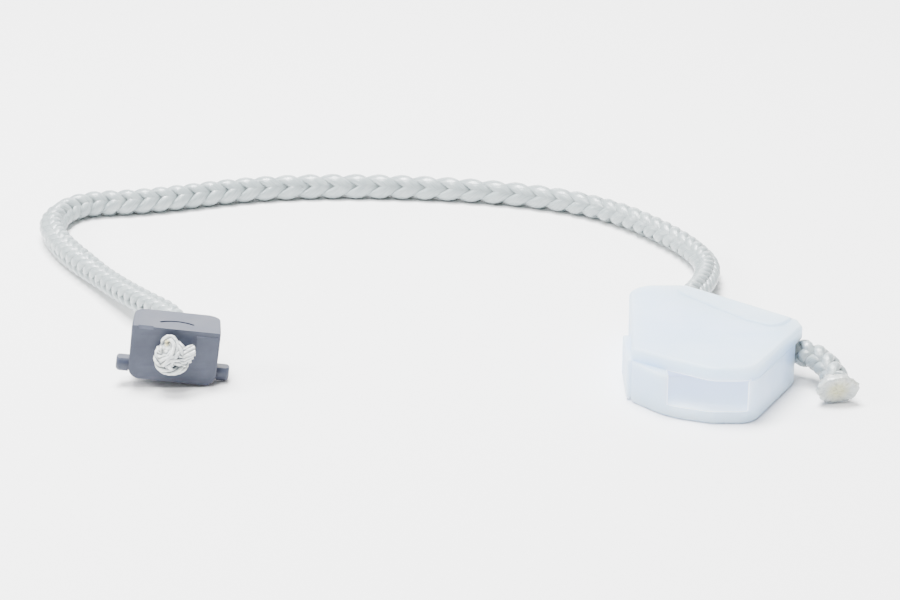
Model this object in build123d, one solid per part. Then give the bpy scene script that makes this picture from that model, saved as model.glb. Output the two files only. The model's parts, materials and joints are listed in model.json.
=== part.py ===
from build123d import *
from math import atan2, cos, degrees, pi, radians, sin, tan
import os

# Pull cord assembly: a plaited cord with a grey trunnion block held on one end by a knot, and
# a white moulded saddle block on the other, where the cord turns a corner and ends in a fused
# tip. Millimetres, +Z up, the table at Z = 0, the origin midway between the two mouldings.

# ---- cord
cord_diameter = 5.0
knot_width = 6.9
knot_height = 6.8
knot_thickness = 4.3
knot_left = 0.4
knot_rise = 0.6
knot_seat = 1.9
cut_end_diameter = 3.0
cut_end_length = 3.9
cut_end_right = 2.1
cut_end_front = 2.5
cut_end_rise = 1.6
cut_end_lean = 72
cut_end_roll = 14
sealed_end_width = 7.0
sealed_end_height = 5.1
sealed_end_thickness = 1.8
sealed_end_lift = 3.1

# ---- anchor block: its bore lies along the cord, its trunnions across it
anchor_width = 15.0
anchor_flare = 0.12
anchor_back_taper = 0.3
anchor_depth = 8.4
anchor_height = 9.7
anchor_below_bore = 4.7
anchor_back_corner = 2.3
anchor_lower_corner = 2.0
anchor_edge = 0.35
bore_clearance = 0.1
bore_mouth = 0.5
trunnion_radius = 1.5
trunnion_length = 2.25
trunnion_drop = 3.05
trunnion_setback = 2.85
trunnion_flat = 1.11
trunnion_end_round = 0.7
trunnion_lap = 1.2
trunnion_neck = 0.1
trunnion_neck_radius = 1.3
front_panel_width = 3.7
front_panel_height = 4.4
front_panel_rise = 0.25
front_panel_drop = 0.75
top_bevel = 0.7
top_bevel_width = 2.6
top_bevel_inset = 1.1
mark_chord = 5.8
mark_rise = 0.95
mark_width = 0.5
mark_depth = 0.3
mark_setback = 2.8
anchor_roll = 7.8
slide_travel = 4.0
slide_spare = 1.0
knot_gap = 0.1

# ---- saddle block
saddle_right = 59.1
saddle_back = 20.5
saddle_width = 30.2
saddle_depth = 41.0
saddle_height = 9.8
saddle_side_rise = 9.4
saddle_front_bulge = 1.9
saddle_lip_bulge = 0.3
saddle_lip_setback = 0.8
saddle_edge = 0.6
saddle_toe = 12.6
saddle_front_right = 10.6
saddle_side_reach = 20.4
saddle_corner_rise = 3.2
saddle_back_right = 18.5
saddle_back_left = 1.5
saddle_overhang = 1.5
flange_thickness = 2.35
slot_web = 5.6
slot_wall = 1.0
slot_depth = 15.6
slot_corner = 1.5
slot_run_out = 6.0
rib_rise = 0.8
rib_length = 11.5
rib_height = 7.0
rib_gap = 0.9
rib_lift = 0.4
channel_clearance = 0.2
channel_bend = 7.0
channel_ease = 24.0
channel_run_in = 4.0
channel_run_out = 3.0
tail_bend = 6.0
roof_pad_rise = 0.4
roof_pad_width = 6.0
roof_pad_inset = 0.9
pad_root = 0.5

# ---- cord routes, laid by hand: (x, y, z) of the cord's centre
trunnion_end = anchor_width / 2 + trunnion_length
bore_height = (trunnion_end * sin(radians(anchor_roll))
               + trunnion_drop * cos(radians(anchor_roll)) + trunnion_radius)
table_height = cord_diameter / 2
channel_height = saddle_height / 2

free_route = [
    (-50.1, 8.7, bore_height),
    (-50.45, 13.9, bore_height),
    (-59.3, 27.5, 4.4),
    (-67.6, 42.6, 2.9),
    (-79.0, 63.0, table_height),
    (-83.0, 77.3, table_height),
    (-78.8, 88.6, table_height),
    (-65.0, 89.8, table_height),
    (-41.0, 100.2, table_height),
    (-15.0, 101.0, table_height),
    (12.0, 96.2, table_height),
    (30.5, 86.3, table_height),
    (43.0, 67.5, table_height),
    (48.2, 52.5, table_height),
    (46.2, 39.0, 3.5),
    (42.4, 28.0, channel_height),
    (40.6, 21.6, channel_height),
]
channel_route = [
    free_route[-1],
    (39.0, 15.9, channel_height),
    (54.6, 2.2, channel_height),
    (59.6, -0.8, channel_height),
]
tail_route = [
    channel_route[-1],
    (63.1, -2.9, channel_height),
    (63.9, -10.6, sealed_end_lift),
]


def widest_arcs(points):
    """Radius of the widest tangent arc that each corner of a cord's route takes."""
    radii = []
    for before, corner, after in zip(points, points[1:], points[2:]):
        arriving = Vector(*corner) - Vector(*before)
        leaving = Vector(*after) - Vector(*corner)
        half_turn = radians(arriving.get_angle(leaving)) / 2
        radii.append(0.45 * min(arriving.length, leaving.length) / tan(half_turn))
    return radii


def tube(label, points, radius, radii=None):
    """Round tube along straight runs joined by tangent arcs."""
    radii = radii or widest_arcs(points)
    path = FilletPolyline(*points, radius=radii)
    section = Plane(origin=path @ 0, z_dir=path % 0) * Circle(radius)
    solid = sweep(section, path=path, transition=Transition.ROUND)
    ratio = solid.volume / (pi * radius**2 * path.length)
    print(f"{label}: length {path.length:.1f}, volume ratio {ratio:.4f}, radii",
          [round(r, 1) for r in radii])
    return solid


def outline(points, radii):
    """Face inside a closed polygon, with each corner rounded by its own radius."""
    return make_face(FilletPolyline(*points, radius=radii, close=True))


# ---- anchor block ------------------------------------------------------------------------
# In its own frame the bore runs along +Y, the front face is Y = 0 and the bore is at Z = 0.
straight_length = anchor_depth + slide_travel + slide_spare
cord_start, cord_bend = free_route[0], free_route[1]
anchor_yaw = degrees(atan2(cord_start[0] - cord_bend[0], cord_bend[1] - cord_start[1]))
anchor_place = Pos(*cord_start) * Rot(0, 0, anchor_yaw) * Rot(0, anchor_roll, 0)
anchor_place = anchor_place * Pos(0, -straight_length, 0)


def anchor_block():
    half_width = anchor_width / 2
    top_half = half_width + anchor_flare
    back_half = top_half - anchor_back_taper
    bottom, top = -anchor_below_bore, anchor_height - anchor_below_bore
    face = Plane.XZ * outline(
        [(-top_half, top), (top_half, top), (half_width, bottom), (-half_width, bottom)],
        [anchor_edge, anchor_edge, anchor_lower_corner, anchor_lower_corner])
    body = extrude(face, -anchor_depth)
    plan = outline([(-top_half, 0), (top_half, 0),
                    (back_half, anchor_depth), (-back_half, anchor_depth)],
                   [anchor_edge, anchor_edge, anchor_back_corner, anchor_back_corner])
    body &= Pos(0, 0, bottom) * extrude(plan, anchor_height)

    # raised panel on the right of the front, bevelled at its top
    panel_x = top_half - anchor_edge - front_panel_width / 2
    panel_z = top - front_panel_drop - front_panel_height / 2
    panel = Pos(panel_x, 0, panel_z) * Box(
        front_panel_width, 2 * front_panel_rise, front_panel_height)
    upper = panel.edges().group_by(Axis.Z)[-1].sort_by(Axis.Y)[0]
    body += chamfer(upper, 0.8 * front_panel_rise)

    # bevel along the left of the front's top edge
    bevel_x = -top_half + top_bevel_inset + top_bevel_width / 2
    bevel = Pos(bevel_x, 0, top) * Rot(45, 0, 0) * Box(top_bevel_width, top_bevel, top_bevel)
    body -= bevel

    # trunnions: round pins with a short neck, a rounded end and a flat along the top
    for side in (-1, 1):
        length = trunnion_length - trunnion_neck
        pin = Rot(0, 90, 0) * Cylinder(trunnion_radius, length)
        end_edges = pin.edges().group_by(Axis.X)[-1 if side > 0 else 0]
        pin = fillet(end_edges, trunnion_end_round)
        neck_x = -side * (length + trunnion_lap) / 2
        pin += Pos(neck_x, 0, 0) * Rot(0, 90, 0) * Cylinder(trunnion_neck_radius, trunnion_lap)
        pin -= Pos(0, 0, trunnion_flat + trunnion_radius) * Box(
            4 * length, 4 * trunnion_radius, 2 * trunnion_radius)
        pin_x = side * (trunnion_end - length / 2)
        body += Pos(pin_x, trunnion_setback, -trunnion_drop) * pin

    # bore with an eased mouth at the back
    bore_radius = cord_diameter / 2 + bore_clearance
    body -= Pos(0, anchor_depth / 2, 0) * Rot(90, 0, 0) * Cylinder(bore_radius, 2 * anchor_depth)
    mouth = Cone(bore_radius + bore_mouth, bore_radius, bore_mouth)
    body -= Pos(0, anchor_depth - bore_mouth / 2, 0) * Rot(90, 0, 0) * mouth

    # curved sink mark in the top, bowed towards the back
    arc = ThreePointArc((-mark_chord / 2, mark_setback), (0, mark_setback + mark_rise),
                        (mark_chord / 2, mark_setback))
    groove = Pos(0, 0, top - mark_depth) * extrude(
        trace(arc, line_width=mark_width), 2 * mark_depth)
    body -= groove
    return anchor_place * body


def cord_in_anchor():
    length = straight_length + knot_gap
    core = Pos(0, straight_length - length / 2, 0) * Rot(90, 0, 0) * Cylinder(
        cord_diameter / 2, length)
    return anchor_place * core


def anchor_knot():
    """Front half of a lump whose widest section lies a little behind its front face."""
    half = knot_thickness + knot_gap - knot_seat
    lump = Pos(-knot_left, -knot_seat, knot_rise) * scale(
        Sphere(1), by=(knot_width / 2, half, knot_height / 2))
    front_half = Pos(0, -knot_gap - knot_thickness, 0) * Box(
        2 * knot_width, 2 * knot_thickness, 2 * knot_height)
    return anchor_place * (lump & front_half)


def knot_cut_end(knot):
    stub = Cone(0.43 * cut_end_diameter, 0.5 * cut_end_diameter, cut_end_length)
    stub = Rot(0, cut_end_lean, 0) * Rot(cut_end_roll, 0, 0) * stub
    stub = anchor_place * Pos(cut_end_right, -cut_end_front, cut_end_rise) * stub
    return (stub - knot).solids().sort_by(SortBy.VOLUME)[-1]


# ---- saddle block ------------------------------------------------------------------------
def saddle_outline(front, bulge, cut_back=0.0):
    """Plan of the block: a curved front left, a slanting right side and back right edge."""
    left, right = saddle_right - saddle_width, saddle_right - cut_back
    shoulder = (left, front + saddle_side_rise)
    toe = (left + saddle_toe, front)
    middle = ((shoulder[0] + toe[0] - bulge) / 2, (shoulder[1] + toe[1]) / 2 - bulge)
    points = [
        shoulder, middle, toe,
        (saddle_right - saddle_front_right, front),
        (right, slant_y(right)),
        (right - 0.5, slant_y(right) + saddle_corner_rise),
        (saddle_right - saddle_back_right - cut_back, saddle_back),
        (left + saddle_back_left, saddle_back),
    ]
    return outline(points, [0.8, 12.0, 4.5, 4.0, 1.6, 1.4, 3.5, 5.0])


def slant_y(x):
    """Where the slanting right side passes x, counted from its foot at the block's front."""
    foot_x, foot_y = saddle_right - saddle_front_right, saddle_back - saddle_depth
    return foot_y + (x - foot_x) * saddle_side_reach / saddle_front_right


def channel_core():
    return tube("saddle channel", channel_route_ends(), cord_diameter / 2 + channel_clearance,
                [channel_bend, channel_ease])


def channel_route_ends():
    """The cord's way through the block, carried on past both faces."""
    first, second = Vector(*channel_route[0]), Vector(*channel_route[1])
    last, before = Vector(*channel_route[-1]), Vector(*channel_route[-2])
    start = first + (first - second).normalized() * channel_run_in
    end = last + (last - before).normalized() * channel_run_out
    return [tuple(start), *channel_route[1:-1], tuple(end)]


def roof_pad(base):
    """Low pad on the roof over the cord's channel, along the slanting back right edge."""
    edge_start = Vector(saddle_right - saddle_back_right, saddle_back)
    edge_end = Vector(saddle_right - 0.5, slant_y(saddle_right) + saddle_corner_rise)
    along = Plane(origin=(edge_start.X, edge_start.Y, base), x_dir=edge_end - edge_start,
                  z_dir=(0, 0, 1))
    length = (edge_end - edge_start).length
    inner = roof_pad_inset + roof_pad_width
    shape = outline(
        [(0.6, -roof_pad_inset), (0.9, -roof_pad_inset - 0.55 * roof_pad_width),
         (length - roof_pad_width, -inner), (length, -roof_pad_width),
         (length - 0.4, -roof_pad_inset)],
        [0.6, 2.0, 8.0, 2.4, 0.8])
    pad = extrude(along * shape, roof_pad_rise + pad_root)
    return fillet(pad.edges().group_by(Axis.Z)[-1], 0.9 * roof_pad_rise)


def saddle_block():
    front = saddle_back - saddle_depth
    roof = saddle_height - flange_thickness
    lower = extrude(saddle_outline(front, saddle_front_bulge, saddle_overhang), roof)
    lower = fillet(lower.edges().group_by(Axis.Z)[0], saddle_edge)
    upper = Pos(0, 0, roof) * extrude(
        saddle_outline(front + saddle_lip_setback, saddle_lip_bulge), flange_thickness)
    upper = fillet(upper.edges().group_by(Axis.Z)[-1], saddle_edge)
    body = lower + upper

    # slot between the two flanges, open at the front
    slot_left = saddle_right - saddle_width + slot_web
    slant = saddle_front_right / saddle_side_reach
    wall_x = slot_wall * (1 + slant**2) ** 0.5
    slot_right = saddle_right - saddle_front_right - wall_x
    slot_back = front + slot_depth
    slot = outline(
        [(slot_left, front - slot_run_out), (slot_left, slot_back),
         (slot_right + slant * slot_depth, slot_back),
         (slot_right, front), (slot_right, front - slot_run_out)],
        [0.2, slot_corner, slot_corner, 2.0, 0.2])
    body -= Pos(0, 0, flange_thickness) * extrude(slot, saddle_height - 2 * flange_thickness)

    # rib down the front of the left side
    rib_y = front + saddle_side_rise + rib_gap + rib_length / 2
    rib = Box(2 * rib_rise, rib_length, rib_height)
    rib = fillet(rib.edges().group_by(Axis.X)[0], 0.3)
    body += Pos(saddle_right - saddle_width, rib_y, rib_height / 2 + rib_lift) * rib

    body += roof_pad(saddle_height - pad_root)
    return body - channel_core()


def cord_sealed_end(tail):
    """Fused button at the cord's cut end, flattened and wider than the cord."""
    end_face = tail.faces().filter_by(GeomType.PLANE).sort_by(Axis.Y)[0]
    facing = end_face.normal_at()
    across = facing.cross(Vector(0, 0, 1)).normalized()
    plane = Plane(origin=end_face.center(), x_dir=across, z_dir=facing)
    button = extrude(plane * Ellipse(sealed_end_width / 2, sealed_end_height / 2),
                     sealed_end_thickness)
    rims = button.edges().filter_by(GeomType.ELLIPSE)
    return fillet(rims, 0.3 * sealed_end_thickness)


parts = {}
parts["saddle_block"] = saddle_block()
parts["anchor_block"] = anchor_block()
parts["anchor_knot"] = anchor_knot()
parts["knot_cut_end"] = knot_cut_end(parts["anchor_knot"])
parts["cord_in_anchor"] = cord_in_anchor()
parts["cord_free"] = tube("free cord", free_route, cord_diameter / 2)
parts["cord_in_saddle"] = tube("cord in saddle", channel_route, cord_diameter / 2,
                               [channel_bend, channel_ease])
parts["cord_tail"] = tube("cord tail", tail_route, cord_diameter / 2, [tail_bend])
parts["cord_sealed_end"] = cord_sealed_end(parts["cord_tail"])

os.makedirs("parts", exist_ok=True)
for name, shape in parts.items():
    shape.label = name
    export_step(shape, f"parts/{name}.step")
    box = shape.bounding_box()
    print(name, round(shape.volume, 1), [round(v, 2) for v in (*box.min, *box.max)])
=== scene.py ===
import json
import math

import bmesh
import bpy
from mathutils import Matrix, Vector, noise


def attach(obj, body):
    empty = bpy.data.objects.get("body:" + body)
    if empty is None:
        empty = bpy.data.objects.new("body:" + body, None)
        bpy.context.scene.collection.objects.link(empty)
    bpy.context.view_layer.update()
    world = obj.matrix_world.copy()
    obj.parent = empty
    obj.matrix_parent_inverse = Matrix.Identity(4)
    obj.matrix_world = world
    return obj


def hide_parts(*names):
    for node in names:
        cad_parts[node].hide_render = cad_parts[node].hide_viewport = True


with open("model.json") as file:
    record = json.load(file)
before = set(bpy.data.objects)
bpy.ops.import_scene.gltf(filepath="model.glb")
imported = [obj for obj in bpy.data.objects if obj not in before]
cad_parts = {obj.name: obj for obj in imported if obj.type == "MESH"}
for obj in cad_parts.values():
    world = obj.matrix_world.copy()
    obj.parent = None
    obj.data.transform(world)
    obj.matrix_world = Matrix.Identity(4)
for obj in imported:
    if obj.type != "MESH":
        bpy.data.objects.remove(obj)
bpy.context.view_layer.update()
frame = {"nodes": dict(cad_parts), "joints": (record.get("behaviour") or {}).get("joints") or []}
print("frame loaded:", sorted(frame["nodes"]))

mm = 0.001
worldUp = Vector((0, 0, 1))


# one wrapped socket, so that patterns read as sums
class Link:

    def __init__(self, tree, socket):
        self.tree = tree
        self.socket = socket

    def calc(self, operation, first, second, clamp=False):
        return addNode(self.tree, "ShaderNodeMath",
                       {"operation": operation, "use_clamp": clamp}, {0: first, 1: second})

    def __add__(self, other):
        return self.calc("ADD", self, other)

    __radd__ = __add__

    def __mul__(self, other):
        return self.calc("MULTIPLY", self, other)

    __rmul__ = __mul__

    def __sub__(self, other):
        return self.calc("SUBTRACT", self, other)

    def __rsub__(self, other):
        return self.calc("SUBTRACT", other, self)

    def __pow__(self, other):
        return self.calc("POWER", self, other)

    def __rpow__(self, other):
        return self.calc("POWER", other, self)

    def clamped(self):
        return self.calc("ADD", self, 0.0, clamp=True)

    # the x, y and z of a coordinate
    def parts(self):
        node = addNode(self.tree, "ShaderNodeSeparateXYZ", None, {"Vector": self}).socket.node
        return [Link(self.tree, socket) for socket in node.outputs]


def addNode(tree, kind, settings=None, values=None, output=0):
    node = tree.nodes.new(kind)
    for name, value in (settings or {}).items():
        setattr(node, name, value)
    for key, value in (values or {}).items():
        socket = node.inputs[key]
        if isinstance(value, Link):
            tree.links.new(value.socket, socket)
        else:
            socket.default_value = value
    return Link(tree, node.outputs[output])


# a Principled material with plain values set on its own sockets
def newMaterial(name, settings):
    material = bpy.data.materials.new(name)
    material.use_nodes = True
    shader = material.node_tree.nodes["Principled BSDF"]
    for socket, value in settings.items():
        shader.inputs[socket].default_value = value
    return material, material.node_tree, shader


def feed(tree, shader, socket, link):
    tree.links.new(link.socket, shader.inputs[socket])


# the colour version of the Mix node has its colours at inputs 6 and 7 and its result at 2
def blendColours(tree, factor, first, second):
    return addNode(tree, "ShaderNodeMix", {"data_type": "RGBA"},
                   {0: factor, 6: first, 7: second}, 2)


def bump(tree, height, strength, distance):
    return addNode(tree, "ShaderNodeBump", None,
                   {"Height": height, "Strength": strength, "Distance": distance})


# Object coordinates, stretched by a Mapping node
def objectSpot(tree, scale=(1, 1, 1)):
    coords = addNode(tree, "ShaderNodeTexCoord", output=3)
    return addNode(tree, "ShaderNodeMapping", None, {"Vector": coords, "Scale": scale})


def mottle(tree, where, scale, detail=3.0, roughness=0.5):
    return addNode(tree, "ShaderNodeTexNoise", None,
                   {"Vector": where, "Scale": scale, "Detail": detail, "Roughness": roughness})


# ambient occlusion for painted shade: how much ambient light reaches a spot, near nought where
# strands press together
def ambientLit(tree, reach):
    return addNode(tree, "ShaderNodeAmbientOcclusion", {"samples": 6}, {"Distance": reach}, 1)


def stretch(tree, value, low, high, toLow=0.0, toHigh=1.0):
    return addNode(tree, "ShaderNodeMapRange", None,
                   {"Value": value, "From Min": low, "From Max": high,
                    "To Min": toLow, "To Max": toHigh})


# pattern scales are per metre; a roughness is given at the pattern's low and high
greyFacts = {
    "specular": 0.25,
    "coat": 0.15,
    "coatRoughness": 0.2,
    "cloud": 260.0,
    "flow": 180.0,
    "flowStretch": (1.0, 1.0, 6.0),
    "grain": 3800.0,
    "dark": (0.034, 0.041, 0.066, 1),
    "pale": (0.048, 0.056, 0.085, 1),
    "flowTint": (0.026, 0.030, 0.056, 1),
    "flowShare": 0.4,
    "roughness": (0.34, 0.5),
    "flowHeight": 0.6,
    "bump": 0.12,
    "bumpDepth": 0.1 * mm,
}


def greyPlastic():
    material, tree, shader = newMaterial("greyPlastic", {
        "Specular IOR Level": greyFacts["specular"], "Coat Weight": greyFacts["coat"],
        "Coat Roughness": greyFacts["coatRoughness"]})
    where = objectSpot(tree)
    cloud = mottle(tree, where, greyFacts["cloud"])
    flow = mottle(tree, objectSpot(tree, greyFacts["flowStretch"]), greyFacts["flow"], 2.0)
    tint = blendColours(tree, stretch(tree, cloud, 0.35, 0.65), greyFacts["dark"],
                        greyFacts["pale"])
    tint = blendColours(tree, stretch(tree, flow, 0.5, 0.75, 0.0, greyFacts["flowShare"]), tint,
                        greyFacts["flowTint"])
    feed(tree, shader, "Base Color", tint)
    feed(tree, shader, "Roughness", stretch(tree, cloud, 0.3, 0.7, *greyFacts["roughness"]))
    grain = mottle(tree, where, greyFacts["grain"], 2.0)
    height = grain + greyFacts["flowHeight"] * flow
    feed(tree, shader, "Normal",
         bump(tree, height, greyFacts["bump"], greyFacts["bumpDepth"]))
    return material


naturalFacts = {
    "subsurface": 0.9,
    "subsurfaceRadius": (1.0, 1.05, 1.2),
    "subsurfaceScale": 8 * mm,
    "specular": 0.4,
    "ior": 1.5,
    "coat": 0.1,
    "coatRoughness": 0.25,
    "cloud": 95.0,
    "flow": 120.0,
    "flowStretch": (1.0, 5.0, 1.0),
    "grain": 2600.0,
    "dark": (0.450, 0.610, 0.860, 1),
    "pale": (0.530, 0.675, 0.900, 1),
    "roughness": (0.3, 0.46),
    "flowHeight": 1.5,
    "bump": 0.1,
    "bumpDepth": 0.1 * mm,
}

# painted glow: where the saddle block's walls are thin enough to let light through, in mm; that
# light is painted in as emission
paintedSlotGlow = {
    "left": 34.4,
    "right": 58.1,  # where its slanting edge meets y = 0
    "slant": 0.52,
    "y": (-22.6, -4.6),
    "z": (2.3, 7.5),
    "margin": 0.12,
    "strength": 1.1,
    "colour": (1.0, 0.98, 0.93, 1),
}


# rises from nought to one, or falls, over a margin either side of an edge given in mm
def edgeMask(tree, value, edge, falling=False):
    margin = paintedSlotGlow["margin"] * mm
    ends = (1.0, 0.0) if falling else (0.0, 1.0)
    return stretch(tree, value, edge * mm - margin, edge * mm + margin, *ends)


# mask of the painted glow: one in the slot's space, easing to nought at its edges
def paintedGlowMask(tree, where):
    x, y, z = where.parts()
    slanting = x - paintedSlotGlow["slant"] * y
    mask = edgeMask(tree, x, paintedSlotGlow["left"])
    mask = mask * edgeMask(tree, slanting, paintedSlotGlow["right"], falling=True)
    for value, (low, high) in ((y, paintedSlotGlow["y"]), (z, paintedSlotGlow["z"])):
        inside = edgeMask(tree, value, low) * edgeMask(tree, value, high, falling=True)
        mask = inside * mask
    return mask


def naturalPlastic():
    material, tree, shader = newMaterial("naturalPlastic", {
        "Subsurface Weight": naturalFacts["subsurface"],
        "Subsurface Radius": naturalFacts["subsurfaceRadius"],
        "Subsurface Scale": naturalFacts["subsurfaceScale"],
        "Specular IOR Level": naturalFacts["specular"], "IOR": naturalFacts["ior"],
        "Coat Weight": naturalFacts["coat"], "Coat Roughness": naturalFacts["coatRoughness"],
        "Emission Strength": paintedSlotGlow["strength"]})
    where = objectSpot(tree)
    cloud = mottle(tree, where, naturalFacts["cloud"], 4.0)
    flow = mottle(tree, objectSpot(tree, naturalFacts["flowStretch"]), naturalFacts["flow"], 2.0)
    tint = blendColours(tree, stretch(tree, cloud, 0.35, 0.68), naturalFacts["dark"],
                        naturalFacts["pale"])
    feed(tree, shader, "Base Color", tint)
    feed(tree, shader, "Roughness", stretch(tree, flow, 0.3, 0.7, *naturalFacts["roughness"]))
    grain = mottle(tree, where, naturalFacts["grain"], 2.0)
    height = grain + naturalFacts["flowHeight"] * flow
    feed(tree, shader, "Normal",
         bump(tree, height, naturalFacts["bump"], naturalFacts["bumpDepth"]))
    # painted glow: emission stands in for daylight soaking through the thin walls round the slot
    glow = blendColours(tree, paintedGlowMask(tree, where), (0, 0, 0, 1), paintedSlotGlow["colour"])
    feed(tree, shader, "Emission Color", glow)
    return material


# filament bundles, as laid and as half melted; lines run along each strand on its own UV map
fibreFacts = {
    "laid": {
        "specular": 0.7, "coat": 0.45, "coatRoughness": 0.14, "cloudShare": 0.3,
        "roughness": (0.18, 0.36), "fineHeight": 0.0, "bumpDepth": 0.14 * mm,
    },
    "melted": {
        "specular": 0.9, "coat": 0.75, "coatRoughness": 0.08, "cloudShare": 0.6,
        "roughness": (0.1, 0.21), "fineHeight": 1.0, "bumpDepth": 0.34 * mm,
    },
    "subsurface": 0.25,
    "subsurfaceScale": 0.4 * mm,
    "lineStretch": (60, 2.2, 1),
    "lineShare": 0.3,
    # painted shade from ambient occlusion: its share of the paleness, its reach and its power
    "litShare": 0.035,
    "litReach": 0.9 * mm,
    "litPower": 1.6,
    "lessPale": 0.1,
    "cloud": 420.0,
    "fine": 1500.0,
    "dark": (0.26, 0.31, 0.32, 1),
    "pale": (0.90, 0.93, 0.93, 1),
    "cloudTint": (0.64, 0.69, 0.67, 1),
    "bump": 0.4,
}


def cordFibre(name, key):
    facts = fibreFacts[key]
    material, tree, shader = newMaterial(name, {
        "Subsurface Weight": fibreFacts["subsurface"], "Subsurface Radius": (1.0, 1.0, 1.0),
        "Subsurface Scale": fibreFacts["subsurfaceScale"],
        "Specular IOR Level": facts["specular"], "Coat Weight": facts["coat"],
        "Coat Roughness": facts["coatRoughness"]})
    uv = addNode(tree, "ShaderNodeUVMap", {"uv_map": "UVMap"})
    alongStrand = addNode(tree, "ShaderNodeMapping", None,
                          {"Vector": uv, "Scale": fibreFacts["lineStretch"]})
    lines = mottle(tree, alongStrand, 1.0, 3.0, 0.6)
    where = objectSpot(tree)
    cloud = mottle(tree, where, fibreFacts["cloud"])
    # painted shade: a little paler where strands lie open, darker in the creases between them;
    # the rest of the paleness follows the lines along each strand
    lit = ambientLit(tree, fibreFacts["litReach"]) ** fibreFacts["litPower"]
    paleness = fibreFacts["litShare"] * lit + fibreFacts["lineShare"] * lines
    paleness = (paleness - fibreFacts["lessPale"]).clamped()
    tint = blendColours(tree, paleness, fibreFacts["dark"], fibreFacts["pale"])
    tint = blendColours(tree, stretch(tree, cloud, 0.5, 0.8, 0.0, facts["cloudShare"]), tint,
                        fibreFacts["cloudTint"])
    feed(tree, shader, "Base Color", tint)
    feed(tree, shader, "Roughness", stretch(tree, lines, 0.3, 0.7, *facts["roughness"]))
    height = lines + facts["fineHeight"] * mottle(tree, where, fibreFacts["fine"])
    feed(tree, shader, "Normal", bump(tree, height, fibreFacts["bump"], facts["bumpDepth"]))
    return material


# melted and set filament, with the place in mm where each end has yellowed
fusedFacts = {
    "knot": {
        "base": (0.60, 0.635, 0.63, 1), "cloudShare": 0.35, "fibreShare": 0.75, "coat": 0.6,
        "stainAt": (-50.05, -7.3, 9.4), "stainReach": (0.3, 0.85),
        "stain": (0.70, 0.60, 0.20, 1),
    },
    "sealed": {
        "base": (0.46, 0.50, 0.50, 1), "cloudShare": 0.5, "fibreShare": 0.35, "coat": 1.0,
        "stainAt": (63.7, -12.05, 2.7), "stainReach": (0.9, 2.4),
        "stain": (0.52, 0.51, 0.27, 1),
    },
    "stainShare": 0.85,
    "specular": 0.7,
    "coatRoughness": 0.1,
    "subsurface": 0.3,
    "subsurfaceRadius": (1.0, 0.95, 0.8),
    "subsurfaceScale": 0.6 * mm,
    "cloud": 380.0,
    "fibres": 1400.0,
    "fibreStretch": (1, 1, 3),
    "cloudTint": (0.62, 0.59, 0.42, 1),
    "fibreTint": (0.90, 0.92, 0.91, 1),
    # painted shade: dark colour laid into the grooves between strands by ambient occlusion
    "groove": (0.10, 0.125, 0.14, 1),
    "grooveReach": 1.0 * mm,
    "groovePower": 1.8,
    "roughness": (0.15, 0.36),
    "bump": 0.6,
    "bumpDepth": 0.3 * mm,
}


def fusedCord(name, key):
    facts = fusedFacts[key]
    material, tree, shader = newMaterial(name, {
        "Subsurface Weight": fusedFacts["subsurface"],
        "Subsurface Radius": fusedFacts["subsurfaceRadius"],
        "Subsurface Scale": fusedFacts["subsurfaceScale"],
        "Specular IOR Level": fusedFacts["specular"], "Coat Weight": facts["coat"],
        "Coat Roughness": fusedFacts["coatRoughness"]})
    where = objectSpot(tree)
    cloud = mottle(tree, where, fusedFacts["cloud"], 4.0)
    fibres = mottle(tree, objectSpot(tree, fusedFacts["fibreStretch"]), fusedFacts["fibres"],
                    3.0, 0.65)
    tint = blendColours(tree, stretch(tree, cloud, 0.45, 0.75, 0.0, facts["cloudShare"]),
                        facts["base"], fusedFacts["cloudTint"])
    tint = blendColours(tree, stretch(tree, fibres, 0.5, 0.72, 0.0, facts["fibreShare"]), tint,
                        fusedFacts["fibreTint"])
    away = addNode(tree, "ShaderNodeVectorMath", {"operation": "DISTANCE"},
                   {0: where, 1: [side * mm for side in facts["stainAt"]]}, 1)
    near, far = (reach * mm for reach in facts["stainReach"])
    stained = stretch(tree, away, near, far, fusedFacts["stainShare"], 0.0)
    tint = blendColours(tree, stained, tint, facts["stain"])
    # painted shade: darkened towards the groove colour where strands close in
    lit = ambientLit(tree, fusedFacts["grooveReach"]) ** fusedFacts["groovePower"]
    tint = blendColours(tree, lit, fusedFacts["groove"], tint)
    feed(tree, shader, "Base Color", tint)
    feed(tree, shader, "Roughness", stretch(tree, cloud, 0.3, 0.7, *fusedFacts["roughness"]))
    feed(tree, shader, "Normal",
         bump(tree, fibres + cloud, fusedFacts["bump"], fusedFacts["bumpDepth"]))
    return material


materials = {
    "grey": greyPlastic(),
    "natural": naturalPlastic(),
    "cord": cordFibre("cordFibre", "laid"),
    "melted": cordFibre("meltedFibre", "melted"),
    "fused": fusedCord("fusedCord", "knot"),
    "sealed": fusedCord("sealedCord", "sealed"),
}
print("materials made")


cordFacts = {
    "diameter": 5.0 * mm,
    "step": 0.45 * mm,  # between the rings of each strand
    "splineOrder": 3,
    "lineResolution": 24,
}

# heights of the cord's middle in mm: lying on the table, in the bore and in the channel
tableHeight = 2.5
boreHeight = 5.845
channelHeight = 4.9

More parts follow.
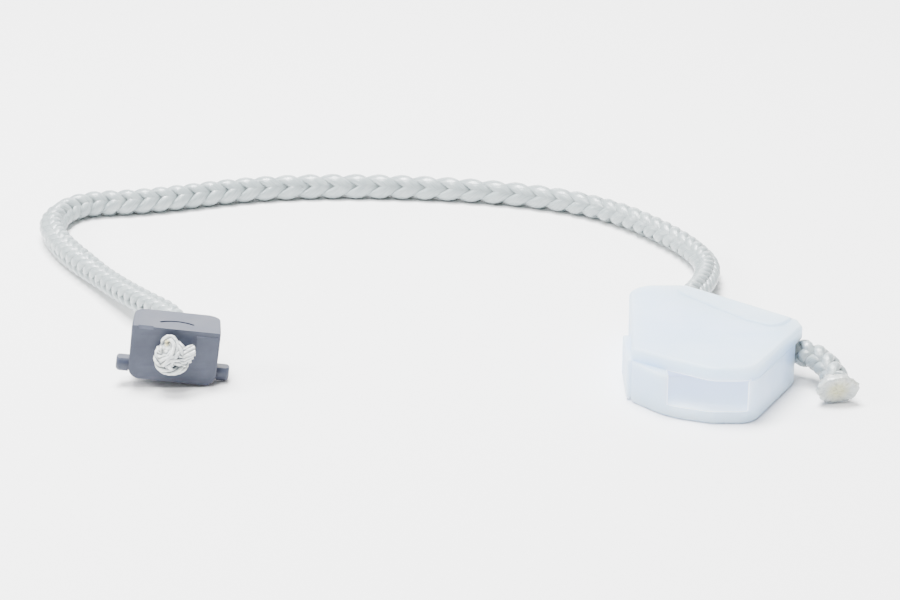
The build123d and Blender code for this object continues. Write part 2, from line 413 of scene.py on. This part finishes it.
freeRoute = [
    (-50.1, 8.7, boreHeight),
    (-50.45, 13.9, boreHeight),
    (-59.3, 27.5, 4.4),
    (-67.6, 42.6, 2.9),
    (-79.0, 63.0, tableHeight),
    (-83.0, 77.3, tableHeight),
    (-78.8, 88.6, tableHeight),
    (-65.0, 89.8, tableHeight),
    (-41.0, 100.2, tableHeight),
    (-15.0, 101.0, tableHeight),
    (12.0, 96.2, tableHeight),
    (30.5, 86.3, tableHeight),
    (43.0, 67.5, tableHeight),
    (48.2, 52.5, tableHeight),
    (46.2, 39.0, 3.5),
    (42.4, 28.0, channelHeight),
    (40.6, 21.6, channelHeight),
]
channelRoute = [
    freeRoute[-1],
    (39.0, 15.9, channelHeight),
    (54.6, 2.2, channelHeight),
    (59.6, -0.8, channelHeight),
]
tailRoute = [
    channelRoute[-1],
    (63.1, -2.9, channelHeight),
    (63.9, -10.6, 3.1),
]


# points read from a NURBS spline that has the route as its control points
def splineLine(name, route):
    curve = bpy.data.curves.new(name, "CURVE")
    curve.dimensions = "3D"
    curve.resolution_u = cordFacts["lineResolution"]
    spline = curve.splines.new("NURBS")
    spline.points.add(len(route) - 1)
    for point, (x, y, z) in zip(spline.points, route):
        point.co = (x * mm, y * mm, z * mm, 1.0)
    spline.order_u = cordFacts["splineOrder"]
    spline.use_endpoint_u = True
    holder = bpy.data.objects.new(name, curve)
    bpy.context.scene.collection.objects.link(holder)
    bpy.context.view_layer.update()
    mesh = bpy.data.meshes.new_from_object(holder)
    points = [v.co.copy() for v in mesh.vertices]
    bpy.data.meshes.remove(mesh)
    bpy.data.objects.remove(holder)
    bpy.data.curves.remove(curve)
    return points


# the same line with its points a step apart
def evenly(points, step):
    runs = [(b - a).length for a, b in zip(points, points[1:])]
    total = sum(runs)
    count = round(total / step)
    result, index, passed = [], 0, 0.0
    for k in range(count + 1):
        target = total * k / count
        while index < len(runs) - 1 and passed + runs[index] < target:
            passed += runs[index]
            index += 1
        share = min(1.0, (target - passed) / runs[index])
        result.append(points[index].lerp(points[index + 1], share))
    return result


# the anchor block in mm; the roll in degrees leans it on one trunnion
anchorFacts = {
    "faceToTwist": 13.4,  # the block's depth, how far it can slide and a little to spare
    "knotGap": 0.1,
    "roll": 7.8,
}
joints = {joint["name"]: joint for joint in frame["joints"]}
twistPoint = Vector(joints["cord_twist"]["pos_m"])
boreAxis = Vector(joints["anchor_slide"]["axis"])
anchorFront = twistPoint - boreAxis * anchorFacts["faceToTwist"] * mm
anchorStretch = (anchorFacts["faceToTwist"] + anchorFacts["knotGap"]) * mm
knotFace = twistPoint - boreAxis * anchorStretch

freeLine = evenly(splineLine("freeLine", freeRoute), cordFacts["step"])
tailLine = evenly(splineLine("tailLine", tailRoute), cordFacts["step"])
cordLines = {
    "anchor": evenly([knotFace, twistPoint], cordFacts["step"]),
    "free": freeLine,
    "saddle": evenly(splineLine("channelLine", channelRoute), cordFacts["step"]),
    "tail": tailLine,
}
# the four stretches end to end, and the first and last point of each
wholeLine, spans = [], {}
for key, points in cordLines.items():
    start = max(0, len(wholeLine) - 1)
    wholeLine += points[1:] if wholeLine else points
    spans[key] = (start, len(wholeLine) - 1)
freeLength = sum((b - a).length for a, b in zip(freeLine, freeLine[1:]))
print("cord line: free length", round(freeLength / mm, 1), "mm, points", len(wholeLine))


# the plait: eight strands, four each way, each over two and under two
plait = {
    "strandsEachWay": 4,
    "sides": 12,
    "meanRadius": 1.24 * mm,
    "swing": 0.60 * mm,  # how far a strand moves in and out as it passes under and over
    "overStart": math.pi / 4,
    "wayStart": 0.25,  # start of each way's first strand, as a share of the gap between strands
    "layRadius": 1.9 * mm,
    "widthShare": 0.52,
    "halfThickness": 0.76 * mm,
    "floor": 0.03 * mm,
    "uvPerMm": 0.1,
    "uvShift": 3.7,  # so that neighbouring strands don't share the same lines
}


# smooth value between stops, each a place and a value
def easeBetween(stops, x):
    if x <= stops[0][0]:
        return stops[0][1]
    for (x0, v0), (x1, v1) in zip(stops, stops[1:]):
        if x <= x1:
            t = (x - x0) / (x1 - x0)
            t = t * t * (3 - 2 * t)
            return v0 + (v1 - v0) * t
    return stops[-1][1]


# by distance from the knot in mm: pitch of the lobes, thickness and turn of the plait
lobePitch = [(0, 2.9), (85, 2.9), (100, 3.4), (122, 3.5), (150, 4.9), (195, 4.9), (217, 3.7),
             (245, 3.2), (262, 2.8), (330, 2.8)]
thicknessShare = [(0, 0.88), (50, 0.90), (66, 1.03), (105, 1.1), (150, 1.09), (190, 1.03),
                  (215, 1.0), (262, 0.97), (330, 0.96)]
plaitTurn = [(0, 1.69), (62, 1.69), (100, 2.17), (125, 2.17), (152, 1.89), (200, 1.95),
             (235, 2.3), (330, 2.3)]


# sideways and upwards directions across the line at each point
def crossFrames(points):
    result = []
    for i in range(len(points)):
        ahead = points[min(i + 1, len(points) - 1)]
        behind = points[max(i - 1, 0)]
        tangent = (ahead - behind).normalized()
        side = tangent.cross(worldUp).normalized()
        result.append((side, side.cross(tangent).normalized()))
    return result


wholeFrames = crossFrames(wholeLine)
phases, travelled = [0.0], [0.0]
for a, b in zip(wholeLine, wholeLine[1:]):
    run = (b - a).length
    pitch = easeBetween(lobePitch, travelled[-1] / mm) * mm
    phases.append(phases[-1] + 2 * math.pi * run / (pitch * plait["strandsEachWay"]))
    travelled.append(travelled[-1] + run)


# centre of one strand at point i of the cord, its outward direction and its half sizes
def strandPoint(i, way, number):
    side, upward = wholeFrames[i]
    turn = easeBetween(plaitTurn, travelled[i] / mm)
    share = easeBetween(thicknessShare, travelled[i] / mm)
    each = 2 * math.pi / plait["strandsEachWay"]
    angle = way * (phases[i] + number * each) + way * plait["wayStart"] * each
    over = math.cos(2 * (angle - plait["overStart"])) * way
    radius = (plait["meanRadius"] + plait["swing"] * over) * share
    angle += turn
    outward = side * math.cos(angle) + upward * math.sin(angle)
    centre = wholeLine[i] + outward * radius
    lay = easeBetween(lobePitch, travelled[i] / mm) * mm * plait["strandsEachWay"]
    girth = 2 * math.pi * plait["layRadius"]
    halfWidth = plait["widthShare"] * math.cos(math.atan(girth / lay)) * girth
    halfWidth /= plait["strandsEachWay"]
    return centre, outward, halfWidth * share, plait["halfThickness"] * share


# points of an oval ring round a centre
def ringSpots(centre, across, lift, halfWidth, halfThickness, sides):
    for j in range(sides):
        a = 2 * math.pi * j / sides
        yield centre + across * math.cos(a) * halfWidth + lift * math.sin(a) * halfThickness


# skin between two rings of corners
def bridgeRings(bm, before, ring):
    nextBefore, nextRing = before[1:] + before[:1], ring[1:] + ring[:1]
    faces = [bm.faces.new(corners) for corners in zip(before, nextBefore, nextRing, ring)]
    for face in faces:
        face.smooth = True
    return faces


# one strand as a closed tube, with a UV map that runs along it
def addStrand(bm, uvLayer, first, last, way, number):
    sides = plait["sides"]
    data = [strandPoint(i, way, number) for i in range(first, last + 1)]
    before, alongBefore = None, 0.0
    for k, (centre, outward, halfWidth, halfThickness) in enumerate(data):
        run = data[min(k + 1, len(data) - 1)][0] - data[max(k - 1, 0)][0]
        run.normalize()
        across = run.cross(outward).normalized()
        lift = across.cross(run).normalized()
        ring = []
        for spot in ringSpots(centre, across, lift, halfWidth, halfThickness, sides):
            spot.z = max(spot.z, plait["floor"])
            ring.append(bm.verts.new(spot))
        along = travelled[first + k] / mm
        if before:
            for j, face in enumerate(bridgeRings(bm, before, ring)):
                corners = ((j, alongBefore), (j + 1, alongBefore), (j + 1, along), (j, along))
                for loop, (u, v) in zip(face.loops, corners):
                    shifted = v * plait["uvPerMm"] + plait["uvShift"] * number
                    loop[uvLayer].uv = (u / sides, shifted)
        else:
            bm.faces.new(list(reversed(ring)))
        before, alongBefore = ring, along
    bm.faces.new(before)


# a finished mesh as an object, with the body it moves with and the CAD node that it stands for
def finishPiece(name, bm, body, replaced, material):
    bmesh.ops.recalc_face_normals(bm, faces=bm.faces)
    mesh = bpy.data.meshes.new(name)
    bm.to_mesh(mesh)
    bm.free()
    piece = bpy.data.objects.new(name, mesh)
    bpy.context.scene.collection.objects.link(piece)
    piece.data.materials.append(materials[material])
    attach(piece, body)
    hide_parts(replaced)
    return piece


# all eight strands along one stretch of the cord
def plaitPiece(name, span, body, replaced, material="cord"):
    bm = bmesh.new()
    uvLayer = bm.loops.layers.uv.new("UVMap")
    for way in (1, -1):
        for number in range(plait["strandsEachWay"]):
            addStrand(bm, uvLayer, *spans[span], way, number)
    return finishPiece(name, bm, body, replaced, material)


freeCord = plaitPiece("plaited_cord", "free", "saddle_and_cord", "cord_free")
plaitPiece("cord_through_anchor", "anchor", "knotted_end", "cord_in_anchor")
plaitPiece("cord_through_saddle", "saddle", "saddle_and_cord", "cord_in_saddle")
plaitPiece("cord_tail_plait", "tail", "saddle_and_cord", "cord_tail", material="melted")
print("plait made")


# how half-melted filament crumples: folds between swellings, with finer ones on top
crumpleFacts = {
    "foldLow": 0.35,
    "fineScale": 2.7,
    "fineShare": 0.5,
    "lumpSize": 1.1,
}


# signed push for a crumpled surface; the spot and the size of a fold are in mm
def crumple(spot, size, depth, seed):
    where = spot * (1.0 / size) + Vector((seed, 0.3 * seed, -seed))
    fold = abs(noise.noise(where)) * 2 - crumpleFacts["foldLow"]
    fine = noise.noise(where * crumpleFacts["fineScale"]) * crumpleFacts["fineShare"]
    return (fold + fine) * depth


# closed ball with its own axes and radii, crumpled outwards
def lumpMesh(bm, centre, axes, radii, seed, finer=5, depth=0.25 * mm):
    for vertex in bmesh.ops.create_icosphere(bm, subdivisions=finer, radius=1.0)["verts"]:
        unit = vertex.co.copy()
        out = sum((axes[k] * unit[k] for k in range(3)), Vector())
        spot = centre + sum((axes[k] * unit[k] * radii[k] for k in range(3)), Vector())
        vertex.co = spot + out * crumple(spot / mm, crumpleFacts["lumpSize"], depth, seed)


# how the strands of a bundle swell, flare and close
bundleFacts = {
    "sides": 10,
    "flareFrom": 0.55,
    "meanShare": 0.92,
    "swelling": 0.16,
    "swellingScale": 0.8,
    "endShare": 0.55,
    "crumpleSize": 0.7,
    "crumpleDepth": 0.08 * mm,
}


# strands twisted along a line, closed at both ends, a little lumpy
def bundleMesh(bm, line, strands, spread, radius, turns, seed, flare=1.0):
    flareFrom, sides = bundleFacts["flareFrom"], bundleFacts["sides"]
    last = len(line) - 1
    crossings = crossFrames(line)
    for number in range(strands):
        before = None
        for k, point in enumerate(line):
            side, upward = crossings[k]
            t = k / last
            grow = 1 + (flare - 1) * max(0.0, (t - flareFrom) / (1 - flareFrom))
            angle = 2 * math.pi * (number / strands + turns * t) + seed
            middle = point + (side * math.cos(angle) + upward * math.sin(angle)) * spread * grow
            swelling = noise.noise(middle * (bundleFacts["swellingScale"] / mm))
            thick = radius * (bundleFacts["meanShare"] + bundleFacts["swelling"] * swelling)
            if k in (0, last):
                thick *= bundleFacts["endShare"]
            ring = []
            for j in range(sides):
                a = 2 * math.pi * j / sides
                out = side * math.cos(a) + upward * math.sin(a)
                spot = middle + out * thick * grow ** 0.5
                push = crumple(spot / mm, bundleFacts["crumpleSize"],
                               bundleFacts["crumpleDepth"], seed)
                ring.append(bm.verts.new(spot + out * push))
            if before:
                bridgeRings(bm, before, ring)
            else:
                bm.faces.new(list(reversed(ring)))
            before = ring
        bm.faces.new(before)


# a piece of fused cord, smooth all over
def fusedPiece(name, bm, body, replaced, material):
    for face in bm.faces:
        face.smooth = True
    return finishPiece(name, bm, body, replaced, material)


# the anchor's own directions: across it, along its bore and up it, from its front face
anchorRoll = math.radians(anchorFacts["roll"])
anchorAcross = boreAxis.cross(worldUp) * math.cos(anchorRoll) - worldUp * math.sin(anchorRoll)
anchorUp = anchorAcross.cross(boreAxis).normalized()


def onAnchor(x, y, z):
    return anchorFront + (anchorAcross * x + boreAxis * y + anchorUp * z) * mm


# rounded line through given points on the anchor's front, in mm
def smoothThrough(spots, count):
    points = [onAnchor(*spot) for spot in spots]
    padded = [points[0] * 2 - points[1]] + points + [points[-1] * 2 - points[-2]]
    result = []
    for k in range(count):
        reached = (len(points) - 1) * k / (count - 1)
        i = min(int(reached), len(points) - 2)
        t = reached - i
        a, b, c, d = padded[i:i + 4]
        result.append(0.5 * (2 * b + (c - a) * t + (2 * a - 5 * b + 4 * c - d) * t * t
                             + (3 * b - a - 3 * c + d) * t ** 3))
    return result


# the knot: cord laid over and under itself round a lump, every place on the anchor in mm
knotFacts = {
    "centre": (-0.35, -1.7, 0.85),
    "radii": (2.7, 1.7, 2.45),
    "lumpSeed": 4.0,
    "lines": [
        [(-2.2, -0.9, 1.9), (-2.7, -2.2, 0.5), (-1.9, -3.1, -1.0), (0.1, -3.3, -1.35),
         (1.7, -2.6, -0.6), (2.1, -1.2, 0.7)],
        [(-1.8, -0.9, 2.4), (-1.5, -1.6, 3.7), (-0.6, -1.9, 3.8), (0.0, -2.8, 2.7),
         (-0.6, -3.7, 1.2), (-1.4, -3.3, 0.0), (-2.2, -2.0, -0.3)],
        [(2.0, -1.5, 2.1), (0.7, -3.1, 1.8), (-0.6, -3.8, 0.6), (-0.4, -3.4, -0.7),
         (0.7, -2.2, -1.5)],
        [(-1.8, -2.0, 2.3), (-2.3, -2.3, 1.3), (-1.8, -3.1, 0.7), (-0.4, -3.8, 1.1),
         (0.8, -3.3, 0.5), (1.5, -2.4, -0.2)],
        [(0.2, -1.4, 3.0), (0.9, -2.7, 2.6), (1.2, -3.2, 1.3), (1.6, -2.9, 0.2),
         (1.2, -2.2, -1.0)],
    ],
    "points": 44,
    "strands": 4,
    "spread": 0.44 * mm,
    "radius": 0.40 * mm,
    "turns": 1.1,
    "firstSeed": 1.7,
    "clearance": 0.12 * mm,  # from the anchor's face
}


# keep every point in front of the anchor's face
def pressOnAnchor(bm, clearance):
    for vertex in bm.verts:
        depth = (vertex.co - anchorFront).dot(boreAxis) + clearance
        if depth > 0:
            vertex.co -= boreAxis * depth


def knot():
    bm = bmesh.new()
    lumpMesh(bm, onAnchor(*knotFacts["centre"]), (anchorAcross, boreAxis, anchorUp),
             [r * mm for r in knotFacts["radii"]], knotFacts["lumpSeed"])
    for number, spots in enumerate(knotFacts["lines"]):
        bundleMesh(bm, smoothThrough(spots, knotFacts["points"]), knotFacts["strands"],
                   knotFacts["spread"], knotFacts["radius"], knotFacts["turns"],
                   knotFacts["firstSeed"] + number)
    pressOnAnchor(bm, knotFacts["clearance"])
    return bm


# the cord's cut end, fanned out and fused beside the knot
earFacts = {
    "lines": [
        [(0.6, -2.7, 1.6), (1.6, -2.9, 2.3), (2.6, -2.7, 2.75), (3.3, -2.4, 2.95)],
        [(0.7, -3.0, 1.3), (1.7, -3.3, 1.8), (2.7, -3.1, 2.2), (3.45, -2.8, 2.35)],
        [(0.8, -3.1, 0.9), (1.7, -3.3, 1.3), (2.5, -3.1, 1.55), (3.2, -2.8, 1.7)],
        [(0.8, -2.9, 0.5), (1.6, -3.1, 0.7), (2.3, -2.9, 0.85), (2.9, -2.6, 0.95)],
    ],
    "points": 24,
    "strands": 3,
    "spread": 0.3 * mm,
    "radius": 0.36 * mm,
    "turns": 0.3,
    "firstSeed": 0.9,
    "seedStep": 2.1,
    "flare": 1.25,
}


def knotEar():
    bm = bmesh.new()
    for number, spots in enumerate(earFacts["lines"]):
        bundleMesh(bm, smoothThrough(spots, earFacts["points"]), earFacts["strands"],
                   earFacts["spread"], earFacts["radius"], earFacts["turns"],
                   earFacts["firstSeed"] + earFacts["seedStep"] * number,
                   flare=earFacts["flare"])
    return bm


fusedPiece("knot", knot(), "knotted_end", "anchor_knot", "fused")
fusedPiece("knot_ear", knotEar(), "knotted_end", "knot_cut_end", "fused")


sealedFacts = {
    "halfWidth": 3.6 * mm,
    "halfHeight": 2.6 * mm,
    "shift": Vector((0.35, 0, 0.1)) * mm,
    "slices": 64,
    "crumpleSize": 0.8,
    "crumpleDepth": 0.3 * mm,
    "crumpleSeed": 7.0,
    # from the cord to the face: how far forward, and how wide against the rim
    "profile": [(-1.4, 0.0), (-1.4, 0.5), (-1.35, 0.60), (-0.9, 0.68), (-0.3, 0.78), (0.4, 0.90),
                (1.0, 0.985), (1.4, 1.0), (1.65, 0.95), (1.72, 0.84), (1.62, 0.68), (1.5, 0.5),
                (1.45, 0.3), (1.5, 0.12), (1.5, 0.0)],
    "faceFrom": 1.5,  # from here forward the surface crumples ahead, not outwards
    "nib": (2.5, 1.2, -1.6),
    "nibRadii": (0.45, 0.4, 0.35),
    "nibLowest": 0.5 * mm,
    "nibSeed": 2.0,
    "nibCrumple": 0.05 * mm,
    "facingOver": 5,  # how many steps of the cord's line give its direction at the end
    "axisReach": 0.1 * mm,  # nearer to the axis than this, the surface crumples ahead too
}


# the cord's end melted against something flat: a flare with a shallow dished face
def sealedEnd():
    bm = bmesh.new()
    facing = (tailLine[-1] - tailLine[-1 - sealedFacts["facingOver"]]).normalized()
    across = facing.cross(worldUp).normalized()
    upward = across.cross(facing).normalized()
    end = tailLine[-1] - sealedFacts["shift"]
    spots = [bm.verts.new((size, 0, forward)) for forward, size in sealedFacts["profile"]]
    runs = [bm.edges.new(pair) for pair in zip(spots, spots[1:])]
    bmesh.ops.spin(bm, geom=spots + runs, cent=(0, 0, 0), axis=(0, 0, 1), angle=2 * math.pi,
                   steps=sealedFacts["slices"], use_merge=True)
    bmesh.ops.remove_doubles(bm, verts=bm.verts, dist=0.0001)
    for vertex in bm.verts:
        x, y, forward = vertex.co
        flat = across * x * sealedFacts["halfWidth"] + upward * y * sealedFacts["halfHeight"]
        onSide = flat.length > sealedFacts["axisReach"] and forward < sealedFacts["faceFrom"]
        out = flat.normalized() if onSide else facing
        spot = end + facing * forward * mm + flat
        spot += out * crumple(spot / mm, sealedFacts["crumpleSize"], sealedFacts["crumpleDepth"],
                              sealedFacts["crumpleSeed"])
        spot.z = max(spot.z, plait["floor"])
        vertex.co = spot
    x, forward, y = sealedFacts["nib"]
    nib = end + (across * x + facing * forward + upward * y) * mm
    nib.z = max(nib.z, sealedFacts["nibLowest"])
    lumpMesh(bm, nib, (across, facing, upward), [r * mm for r in sealedFacts["nibRadii"]],
             sealedFacts["nibSeed"], finer=3, depth=sealedFacts["nibCrumple"])
    return bm


fusedPiece("sealed_end", sealedEnd(), "saddle_and_cord", "cord_sealed_end", "sealed")
print("knot and ends made")

for node, material in (("anchor_block", "grey"), ("saddle_block", "natural")):
    moulding = frame["nodes"][node].data
    moulding.materials.clear()
    moulding.materials.append(materials[material])


studio = {
    "cameraPlace": (-1.85 * mm, -402.65 * mm, 165.0 * mm),
    "cameraFall": 20.5,
    "lens": 100.0,
    "sensorWidth": 36.0,
    "clipStart": 0.01,
    "floorSize": 6.0,
    "floorColour": (0.97, 0.97, 0.97, 1),
    "floorRoughness": 0.9,
    "worldStrength": 0.6,
    "lights": {
        "sky": {"place": (-0.1, 0.15, 0.75), "aim": (0, 0.03, 0), "size": (0.45, 0.35),
                "power": 25.0},
        "front": {"place": (-0.12, -0.32, 0.7), "aim": (0, 0.02, 0), "size": (0.12, 0.12),
                  "power": 4.5},
        "back": {"place": (0.1, 1.1, 0.42), "aim": (0, 0.03, 0), "size": (0.9, 0.3),
                 "power": 6.0},
        "left": {"place": (-0.6, -0.1, 0.4), "aim": (0, 0.02, 0), "size": (0.2, 0.2),
                 "power": 4.0},
    },
}


def makeFloor():
    bm = bmesh.new()
    bmesh.ops.create_grid(bm, x_segments=1, y_segments=1, size=studio["floorSize"] / 2)
    mesh = bpy.data.meshes.new("floor")
    bm.to_mesh(mesh)
    bm.free()
    floor = bpy.data.objects.new("floor", mesh)
    bpy.context.scene.collection.objects.link(floor)
    pale = newMaterial("paleFloor", {
        "Base Color": studio["floorColour"], "Roughness": studio["floorRoughness"]})[0]
    floor.data.materials.append(pale)


def makeLight(name, facts):
    data = bpy.data.lights.new(name, "AREA")
    data.shape = "RECTANGLE"
    data.size, data.size_y = facts["size"]
    data.energy = facts["power"]
    lamp = bpy.data.objects.new(name, data)
    lamp.location = facts["place"]
    towards = Vector(facts["aim"]) - Vector(facts["place"])
    lamp.rotation_euler = towards.to_track_quat("-Z", "Y").to_euler()
    bpy.context.scene.collection.objects.link(lamp)


def makeWorld():
    world = bpy.data.worlds.new("studioWorld")
    world.use_nodes = True
    background = world.node_tree.nodes["Background"]
    background.inputs["Color"].default_value = (1, 1, 1, 1)
    background.inputs["Strength"].default_value = studio["worldStrength"]
    bpy.context.scene.world = world


def makeCamera():
    data = bpy.data.cameras.new("camera")
    data.lens = studio["lens"]
    data.sensor_width = studio["sensorWidth"]
    data.clip_start = studio["clipStart"]
    camera = bpy.data.objects.new("camera", data)
    camera.location = studio["cameraPlace"]
    camera.rotation_euler = (math.radians(90 - studio["cameraFall"]), 0, 0)
    bpy.context.scene.collection.objects.link(camera)
    bpy.context.scene.camera = camera


makeFloor()
for lightName, lightFacts in studio["lights"].items():
    makeLight(lightName, lightFacts)
makeWorld()
makeCamera()
print("studio made")
